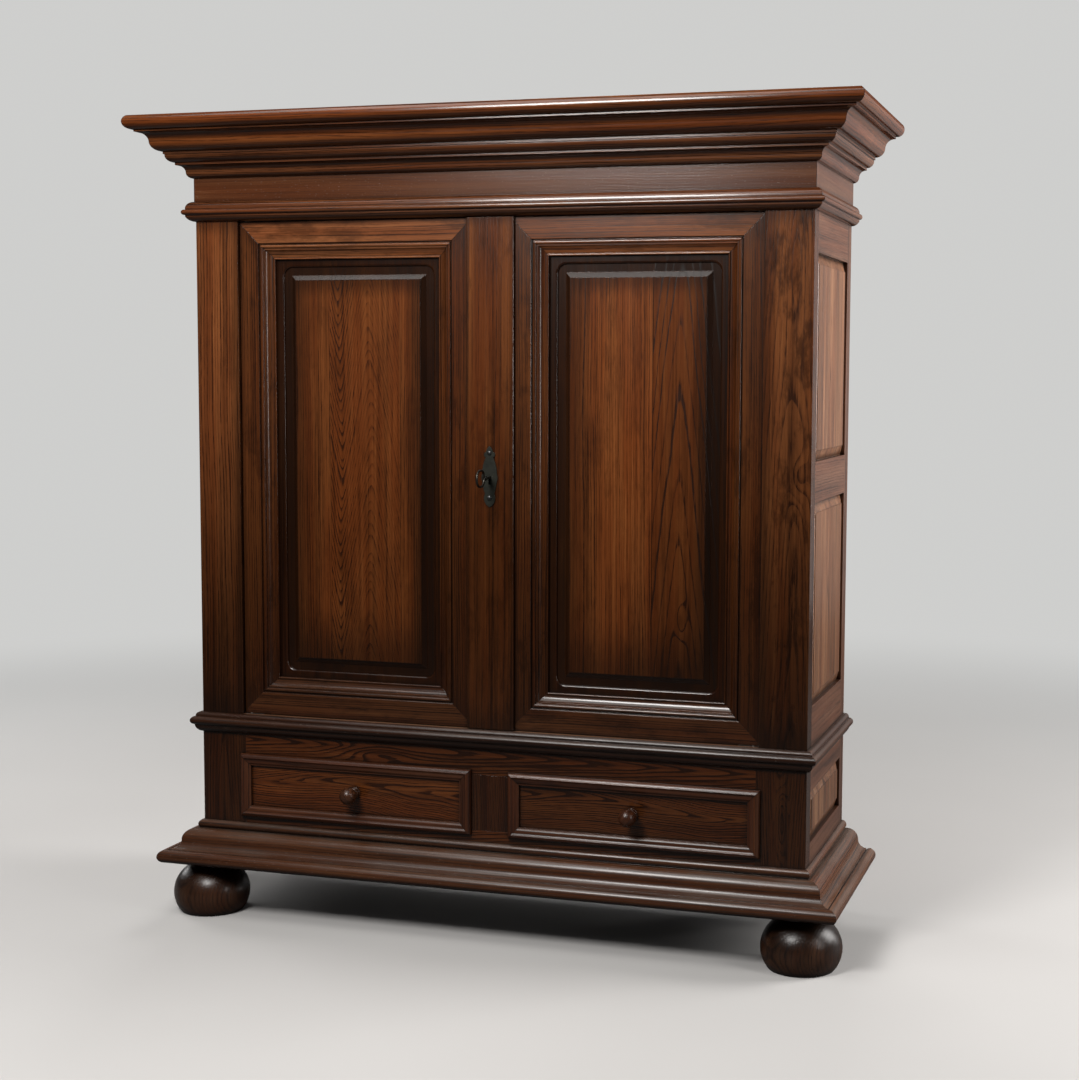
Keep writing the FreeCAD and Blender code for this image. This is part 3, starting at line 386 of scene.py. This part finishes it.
    # Painted light and shade: side lengths made lighter, as lit from the side, and downward faces darker.
    if turn and lit_side_tone != 1.0:
        slope = wood.tree.nodes.new("ShaderNodeSeparateXYZ")
        wood.set(slope.inputs[0], wood.add("ShaderNodeNewGeometry", {}, out=1))
        painted_underside_shade = (Value(wood, slope.outputs[2]) * -1.0).smooth(0.05, 0.75) * (1.0 - share * 0.6)
        side_light_and_underside_shade = (share * (lit_side_tone - 1.0) + 1.0) * (1.0 - painted_underside_shade * 0.75)
        colour = wood.blend(1.0, colour, wood.vector(side_light_and_underside_shade, side_light_and_underside_shade, side_light_and_underside_shade), "MULTIPLY")
    normal = wood.bump(height, PORE_DEPTH, rounded, 0.7 * relief)
    wood.shade(colour, line * 0.05 + mottle * 0.08 + (roughness - 0.03), normal,
               Coat_Weight=coat, **OAK_SHEEN)
    return wood.data


def dress(material, *names):
    for name in names:
        slots = NODES[name].material_slots
        for slot in slots:
            slot.link = "OBJECT"
            slot.material = material


# The case's corner, from which the mouldings' mitres run out.
post_low, post_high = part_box("upper_front_posts")
CASE = post_high.x
FRONT = post_low.y
POST_WIDTH = 0.113
RETURN_DEPTH = 0.06  # how far inside the case's side a moulding still counts as its side length


def returns(x, y, z):
    """1 on the side lengths of a mitred moulding."""
    out = x.math("ABSOLUTE") - CASE
    return out.above(FRONT - y) * out.above(-RETURN_DEPTH)


def mitre(x, y, z):
    """Distance from the mitres at the case's front corners."""
    out = x.math("ABSOLUTE") - CASE
    return [(out - (FRONT - y)).math("ABSOLUTE") + (1.0 - out.above(-RETURN_DEPTH))]


def plain(name, grain, seed, colours, heart=0.4, **more):
    return oak(name, grain, colours, [Board(0, heart, 0.05, 0.006, 0.006)], seed=seed, **more)


def dress_case():
    # The mouldings' side lengths are painted twice as light, as lit from the side, with painted shade on their
    # downward faces.
    front_moulding = dict(turn=("y", returns), seams=mitre, wander=0.03, corner_shade_reach=0.03, relief=0.15, lit_side_tone=2.0)
    dress(plain("cornice_oak", "x", 1.0, stain(0.110, 0.30, 0.08), coat=0.15, **front_moulding),
          "cornice_nosing", "cornice_crown_moulding")
    # The bed and neck mouldings' greyer colour stands partly for a painted sheen.
    dress(plain("cornice_bed_oak", "x", 2.0, stain(0.094, 0.34, 0.12), coat=0.15, **front_moulding),
          "cornice_bed_moulding", "neck_moulding")
    # The frieze's greyer, paler colour stands partly for a painted sheen.
    dress(plain("frieze_oak", "x", 3.0, stain(0.068, 0.35, 0.13, 0.5), contrast=0.5, dust=0.3, **front_moulding),
          "frieze")
    dress(plain("waist_oak", "x", 4.0, stain(0.025, 0.32, 0.11), dust=0.2, wear=0.9, roughness=0.27,
                **front_moulding),
          "waist_moulding")
    dress(plain("base_oak", "x", 5.0, stain(0.055, 0.36, 0.14), dust=0.3, wear=0.9, roughness=0.25,
                **front_moulding),
          "base_moulding", "base_frame")
    z0, z1 = post_low.z, post_high.z
    dress(oak("post_oak", "z", stain(0.124, 0.33, 0.10),
              [Board(-1, -1.05, 0.05, 0.004, 0.0078, smear=0.2),
               Board(0, 0.742, 0.018, 0.06, 0.0105, 0.9, bold=0.75, line=0.6)],
              seed=8.0, face=-FRONT, low=(0.5, 1.5, 0.22), contrast=1.25, blotch=0.7,
              knots=((0.750, 1.145, 0.022, 0.055, 0.028), (0.744, 1.36, 0.026, 0.12, 0.012),
                     (0.735, 1.66, 0.024, 0.12, -0.014), (0.748, 0.95, 0.022, 0.14, -0.012)),
              glaze=lambda x, y, z: ((x.math("ABSOLUTE"), CASE - POST_WIDTH, CASE, 0.03, 0.0),
                                     (z, z0, z1, 0.1, 0.045))),
          "upper_front_posts")
    dress(oak("lower_post_oak", "z", stain(0.029),
              [Board(-1, -0.72, 0.03, 0.03, 0.006), Board(0, 0.722, 0.015, -0.05, 0.006)],
              seed=9.0, contrast=1.1, face=-FRONT, knots=((0.722, 0.345, 0.012, 0.07, 0.03),)),
          "lower_posts", "drawer_centre_stile")
    dress(oak("drawer_rail_oak", "x", stain(0.064), [Board(0, 0.452, 0.006, 0.075, 0.0085, line=0.6)],
              contrast=2.7, seed=10.0, wander=0.03, face=-FRONT, knots=((0.44, -0.30, 0.02, 0.10, 0.03),)),
          "drawer_rails")
    # The sides' paler, greyer colours are partly painted light, the sides lit brighter than the front; side_low paints
    # shade towards their bottom.
    side_low = (0.2, 1.5, 0.55)
    side_frame = dict(contrast=0.7, low=side_low, roughness=0.3)
    dress(plain("side_rail_oak", "y", 11.0, stain(0.17, 0.42, 0.22), **side_frame),
          "upper_side_rails", "lower_side_rails")
    dress(plain("side_post_oak", "z", 18.0, stain(0.17, 0.42, 0.22), **side_frame), "rear_posts")
    dress(oak("side_panel_oak", "zy", stain(0.27, 0.45, 0.21), [Board(0, 0.06, 0.02, 0.03, 0.0062)], seed=12.0,
              low=side_low, face=CASE, roughness=0.30, contrast=1.1, streak=1.5),
          "upper_side_panels", "lower_side_panels")
    inside = dict(roughness=0.5, contrast=0.7, wear=0.2)
    inner = stain(0.2, 0.48, 0.24, 0.45)
    dress(plain("board_oak", "xy", 13.0, inner, **inside), "cupboard_floor", "cupboard_ceiling", "shelves",
          "cornice_top", "door_stops", "lower_back_panel")
    dress(plain("back_oak", "z", 14.0, inner, **inside), "back_boards")
    dress(plain("runner_oak", "y", 15.0, inner, **inside), "drawer_runners", "shelf_cleats",
          "left_drawer_box", "right_drawer_box", "left_drawer_bottom", "right_drawer_bottom")
    # The feet's tops are darkened as painted shade below the base moulding, and their lower halves lightened as
    # painted light bounced up from the floor.
    turned = oak("turned_oak", "z", stain(0.019, 0.42, 0.2),
                 [Board(-1, -0.80, 0.10, 0.002, 0.0055), Board(0, 0.735, 0.10, 0.002, 0.0055)],
                 seed=16.0, roughness=0.27, streak=0.5, low=(0.03, 0.10, 2.2),
                 glaze=lambda x, y, z: ((z, -1.0, 0.13, 0, 0.08), (z, -1.0, 9.0, 0, 1.0)))
    dress(turned, "left_front_foot", "right_front_foot", "rear_feet")
    dress(plain("knob_oak", "y", 17.0, stain(0.05, 0.36, 0.16), roughness=0.25, streak=0.6),
          "left_drawer_knob", "right_drawer_knob")


BEVEL_WIDTH = 0.041  # from a door panel's edge to where the glaze of its field begins
# From the outside of a door's frame to the rectangle whose corners its mitres run through.
FRAME_MARGIN_LEFT = {"left": 0.049, "right": 0.055}
FRAME_MARGINS = 0.104  # left and right together
FRAME_MARGIN_TOP = 0.053
FRAME_MARGIN_FOOT = 0.055
CENTRE_HALF_WIDTH = 0.06  # of the centre board's glazed face


def dress_doors():
    for side, sign in (("left", -1), ("right", 1)):
        low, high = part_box(side + "_door_panel")
        x0, x1 = low.x + BEVEL_WIDTH, high.x - BEVEL_WIDTH
        z0, z1 = low.z + BEVEL_WIDTH, high.z - BEVEL_WIDTH

        def field(x, y, z):
            return (x, x0, x1, 0.075 if side == "left" else 0.09, 0.05), (z, z0, z1, 0.15, 0.05)

        if side == "left":
            valley, ridge = -0.4055, -0.325
            boards = [Board(-1, x0 - 0.25, 0.05, 0.004, 0.0068),
                      Board(valley - 0.026, valley, 0.006, -0.22, 0.0066, tree=3, bold=1.9),
                      Board(valley + 0.014, valley, 0.006, -0.22, 0.0066, tree=3, bold=1.2),
                      Board((valley + ridge) / 2, ridge, 0.012, -0.22, 0.0066, flip=-1,
                            shift=ridge - valley + 0.002, tree=3, bold=0.8),
                      Board(-0.247, x1 + 0.2, 0.05, 0.01, 0.0068)]
            dressing = dict(colours=stain(0.100), low=(0.5, 1.4, 0.75))
        else:
            split = 0.396
            boards = [Board(-1, x0 - 0.3, 0.06, 0.004, 0.0068),
                      Board(split, 0.4655, 0.008, 0.11, 0.019, 0.64, bold=1.7, line=0.3)]
            dressing = dict(colours=stain(0.138), low=(0.6, 1.4, 0.65), seams=lambda x, y, z: [x - split],
                            knots=((0.4685, 0.80, 0.013, 0.045, 0.03),))
        dress(oak(side + "_field_oak", "z", boards=boards, seed=20.0 + sign, glaze=field, depth_of_glaze=1.0,
                  relief=0.4, blotch=0.3, face=-low.y, **dressing),
              side + "_door_panel")

        outer_low, outer_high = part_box(side + "_door_rails")
        edge_x = FRAME_MARGIN_LEFT[side]
        other_x = FRAME_MARGINS - edge_x
        middle_x = (outer_low.x + edge_x + outer_high.x - other_x) / 2
        half_x = (outer_high.x - other_x - outer_low.x - edge_x) / 2
        middle_z = (outer_low.z + FRAME_MARGIN_FOOT + outer_high.z - FRAME_MARGIN_TOP) / 2
        half_z = (outer_high.z - FRAME_MARGIN_TOP - outer_low.z - FRAME_MARGIN_FOOT) / 2

        def corners(x, y, z):
            return [((x - middle_x).math("ABSOLUTE") - half_x) - ((z - middle_z).math("ABSOLUTE") - half_z)]

        def ends(x, y, z):
            return (x, outer_low.x, outer_high.x, 0.012, 0.012), (z, outer_low.z, outer_high.z, 0.10, 0.12)

        frame_oak = dict(seams=corners, coat=0.1, blotch=0.5, relief=0.12, roughness=0.19)
        dress(plain(side + "_stile_oak", "z", 30.0 + sign, stain(0.066), low=(0.5, 1.4, 0.40), glaze=ends,
                    depth_of_glaze=0.6, **frame_oak), side + "_door_stiles")
        # The rails' paler, greyer colour stands partly for a painted sheen on the top rails.
        dress(plain(side + "_rail_oak", "x", 40.0 + sign, stain(0.138, 0.35, 0.12), heart=0.9,
                    low=(0.9, 1.5, 0.35), **frame_oak),
              side + "_door_rails")
        dress(plain(side + "_backing_oak", "z", 50.0 + sign, stain(0.018), coat=0.1, relief=0.12),
              side + "_door_backing_frame")
    dress(oak("meeting_oak", "z", stain(0.09), [Board(-1, 0.12, 0.05, 0.006, 0.008)], seed=60.0, contrast=0.7,
              blotch=0.4, low=(0.9, 1.6, 0.46),
              glaze=lambda x, y, z: ((x, -CENTRE_HALF_WIDTH, CENTRE_HALF_WIDTH, 0.012, 0.012),
                                     (z, post_low.z, post_high.z, 0.08, 0.03))),
          "left_door_centre_board", "left_door_meeting_stile")


DRAWER_MOULDING_WIDTH = 0.029


def dress_drawers():
    for side, sign in (("left", -1), ("right", 1)):
        low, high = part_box(side + "_drawer_moulding")
        middle_x, middle_z = (low.x + high.x) / 2, (low.z + high.z) / 2
        half_x, half_z = (high.x - low.x) / 2, (high.z - low.z) / 2

        def past(x, y, z):
            return ((x - middle_x).math("ABSOLUTE") - half_x) - ((z - middle_z).math("ABSOLUTE") - half_z)

        def upright(x, y, z):
            return past(x, y, z).above(0.0)

        def corners(x, y, z):
            return [past(x, y, z)]

        def face(x, y, z):
            width = DRAWER_MOULDING_WIDTH
            return (x, low.x + width, high.x - width, 0.03, 0.03), (z, low.z + width, high.z - width, 0.02, 0.02)

        dress(plain(side + "_drawer_moulding_oak", "x", 70.0 + sign, stain(0.055, 0.34, 0.14), roughness=0.26,
                    relief=0.15, turn=("z", upright), seams=corners),
              side + "_drawer_moulding")
        dress(oak(side + "_drawer_oak", "x", stain(0.093 if side == "left" else 0.057),
                  [Board(0, middle_z + 0.01, 0.004, 0.05 * sign, 0.0046, line=0.6)],
                  contrast=2.3, seed=80.0 + sign, wander=0.07, glaze=face, blotch=0.2, face=-low.y),
              side + "_drawer_front")


# ---- metal ----
METAL_ARRIS = 0.0006
HAMMER_DEPTH = 0.0006


def metal(name, colour, roughness, metallic):
    iron = Material(name)
    x, y, z = iron.position()
    spots = iron.noise(iron.vector(x * 90.0, y * 90.0, z * 90.0), 4.0, 0.6)
    broad = iron.noise(iron.vector(x * 24.0, y * 24.0, z * 24.0), 2.0)
    rounded, edge = iron.soft_edges(METAL_ARRIS)
    tint = iron.blend((spots - 0.5).smooth(0.0, 0.25) * 0.6, colour, tuple(c * 0.5 for c in colour))
    # Arrises painted paler: partly bright abraded metal, partly painted glints.
    tint = iron.blend(edge * 0.8, tint, tuple(c * 2.0 + 0.05 for c in colour))
    normal = iron.bump(spots * 0.5 + broad, HAMMER_DEPTH, rounded, 0.6)
    iron.shade(tint, broad * 0.25 + (roughness - 0.1), normal, Metallic=metallic)
    return iron.data


def dress_metal():
    dress(metal("black_iron", (0.018, 0.019, 0.014), 0.40, 0.6), "escutcheon")
    dress(metal("key_iron", (0.05, 0.047, 0.04), 0.30, 0.9), "key")
    dress(metal("steel", (0.42, 0.41, 0.39), 0.38, 1.0),
          "left_door_pivots", "right_door_pivots", "door_pivot_sockets", "right_door_top_bolt",
          "right_door_bottom_bolt", "right_door_bolt_plates", "lock_case", "lock_bolt", "lock_keeper")


# ---- nails of the escutcheon ----
NAIL_SIDES = 20
# Shares of the head's rise and of its radius.
NAIL_LEVELS = ((0.0, 1.0), (0.25, 1.02), (0.5, 0.93), (0.75, 0.74), (0.92, 0.45), (1.0, 0.16))


def make_nail(name, place, radius, rise):
    """Hand-forged nail head: a low dome with a rim, hammered a little out of round."""
    mesh = bmesh.new()
    rows = []
    for height, spread in NAIL_LEVELS:
        row = []
        for step in range(NAIL_SIDES):
            turn = 2 * math.pi * step / NAIL_SIDES
            dent = 1 + 0.05 * math.sin(3 * turn + 9 * height) + 0.03 * math.sin(7 * turn + 2)
            row.append(mesh.verts.new((place[0] + radius * spread * dent * math.cos(turn), place[1] - rise * height,
                                       place[2] + radius * spread * dent * math.sin(turn))))
        rows.append(row)
    for near, far in zip(rows, rows[1:]):
        for step in range(NAIL_SIDES):
            after = (step + 1) % NAIL_SIDES
            mesh.faces.new((near[step], near[after], far[after], far[step]))
    mesh.faces.new(rows[-1])
    mesh.faces.new(list(reversed(rows[0])))
    bmesh.ops.recalc_face_normals(mesh, faces=mesh.faces[:])
    data = bpy.data.meshes.new(name)
    mesh.to_mesh(data)
    mesh.free()
    for polygon in data.polygons:
        polygon.use_smooth = True
    nail = bpy.data.objects.new(name, data)
    bpy.context.scene.collection.objects.link(nail)
    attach(nail, "left_door")
    data.materials.append(metal("nail_iron", (0.06, 0.06, 0.06), 0.36, 0.9))


dress_case()
dress_doors()
dress_drawers()
dress_metal()
plate_low, plate_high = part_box("escutcheon")
make_nail("escutcheon_nail_top", (0.0, plate_low.y, plate_high.z - 0.016), 0.0055, 0.0030)
make_nail("escutcheon_nail_foot", (0.0, plate_low.y, plate_low.z + 0.022), 0.0060, 0.0032)


# ---- floor, light and camera ----
BACKDROP = (0.62, 0.62, 0.61)  # what the camera sees; other rays meet darker tones
FLOOR_REACH = 30.0
FLOOR_FADE = (1.5, 5.5)  # from the middle, where the floor begins to turn into the backdrop and has done so
WARM = (1.0, 0.98, 0.96)
MILD = (1.0, 0.99, 0.98)


def make_floor():
    mesh = bpy.data.meshes.new("floor")
    reach = FLOOR_REACH
    corners = [(-reach, -reach, 0), (reach, -reach, 0), (reach, reach, 0), (-reach, reach, 0)]
    mesh.from_pydata(corners, [], [(0, 1, 2, 3)])
    floor = bpy.data.objects.new("floor", mesh)
    bpy.context.scene.collection.objects.link(floor)
    paint = Material("floor_paint")
    x, y, z = paint.position()
    cloud = paint.noise(paint.vector(x * 0.8, y * 0.8, z), 3.0)
    seen = paint.add("ShaderNodeLightPath", {})
    pale = paint.blend(cloud, (0.52, 0.51, 0.50), (0.58, 0.57, 0.56))
    paint.shade(paint.blend(seen, (0.10, 0.098, 0.096), pale), cloud * 0.2 + 0.5, Specular_IOR_Level=0.2)
    surface = paint.output.inputs[0].links[0].from_socket
    backdrop = paint.tree.nodes.new("ShaderNodeEmission")
    backdrop.inputs["Color"].default_value = (*BACKDROP, 1.0)
    far = (x * x + y * y).math("SQRT").smooth(*FLOOR_FADE) * seen
    mix = paint.tree.nodes.new("ShaderNodeMixShader")
    paint.set(mix.inputs[0], far)
    paint.tree.links.new(surface, mix.inputs[1])
    paint.tree.links.new(backdrop.outputs[0], mix.inputs[2])
    paint.tree.links.new(mix.outputs[0], paint.output.inputs[0])
    mesh.materials.append(paint.data)


def area_light(name, place, target, width, height, power, colour):
    lamp = bpy.data.lights.new(name, "AREA")
    lamp.shape = "RECTANGLE"
    lamp.size, lamp.size_y = width, height
    lamp.energy = power
    lamp.color = colour
    light = bpy.data.objects.new(name, lamp)
    light.visible_camera = False
    light.location = place
    light.rotation_euler = (Vector(target) - Vector(place)).to_track_quat("-Z", "Y").to_euler()
    bpy.context.scene.collection.objects.link(light)


def make_light():
    area_light("key_light", (-0.45, -2.5, 2.75), (0.05, 0.0, 1.4), 0.9, 0.9, 91.0, WARM)
    area_light("side_light", (3.7, 1.3, 2.2), (0.78, 0.1, 1.3), 1.6, 2.2, 140.0, WARM)
    area_light("left_light", (-3.7, 1.3, 2.2), (-0.78, 0.1, 1.3), 1.6, 2.2, 56.0, MILD)
    area_light("rear_light", (-0.8, 4.2, 4.0), (0.0, 0.3, 1.0), 2.0, 1.6, 80.0, MILD)
    area_light("back_light", (2.0, 5.6, 1.45), (0.8, 0.1, 1.3), 2.4, 2.8, 5.5, (0.99, 0.98, 0.97))
    area_light("top_light", (-0.8, -1.6, 4.3), (-0.3, -0.6, 1.0), 2.6, 1.6, 50.0, (1.0, 0.98, 0.95))
    area_light("strip_light", (3.3, -1.25, 1.8), (0.3, -0.1, 1.2), 0.25, 1.9, 22.0, WARM)
    area_light("edge_light", (4.2, 2.9, 1.35), (0.78, 0.0, 1.2), 0.5, 2.6, 30.0, WARM)
    world = bpy.data.worlds.new("studio")
    world.use_nodes = True
    bpy.context.scene.world = world
    tree = world.node_tree
    back = tree.nodes["Background"]
    rays = tree.nodes.new("ShaderNodeLightPath")
    mix = tree.nodes.new("ShaderNodeMix")
    mix.data_type = "RGBA"
    mix.inputs[6].default_value = (0.06, 0.06, 0.06, 1.0)
    mix.inputs[7].default_value = (*BACKDROP, 1.0)
    tree.links.new(rays.outputs["Is Camera Ray"], mix.inputs[0])
    tree.links.new(mix.outputs[2], back.inputs["Color"])
    bpy.context.scene.view_settings.view_transform = "Standard"


# The photograph's camera, fitted to it.
CAMERA_PLACE = (1.5439, -4.2423, 1.3835)
CAMERA_ANGLES = (16.69, 5.03, 0.32)  # degrees of yaw, downward pitch and roll
FOCAL_LENGTH = 1808.88  # in pixels of the photograph
PHOTO_SIDE = 1080
SENSOR = 36.0


def make_camera():
    yaw, pitch, roll = (math.radians(angle) for angle in CAMERA_ANGLES)
    ahead = Vector((-math.sin(yaw) * math.cos(pitch), math.cos(yaw) * math.cos(pitch), -math.sin(pitch)))
    right = Vector((math.cos(yaw), math.sin(yaw), 0))
    up = right.cross(ahead)
    side = right * math.cos(roll) + up * math.sin(roll)
    top = up * math.cos(roll) - right * math.sin(roll)
    lens = bpy.data.cameras.new("camera")
    lens.sensor_width = SENSOR
    lens.lens = FOCAL_LENGTH / PHOTO_SIDE * SENSOR
    lens.shift_x = -0.0745
    lens.shift_y = -0.0081
    camera = bpy.data.objects.new("camera", lens)
    turn = Matrix((side, top, -ahead)).transposed().to_4x4()
    camera.matrix_world = Matrix.Translation(CAMERA_PLACE) @ turn
    bpy.context.scene.collection.objects.link(camera)
    bpy.context.scene.camera = camera


make_floor()
make_light()
make_camera()
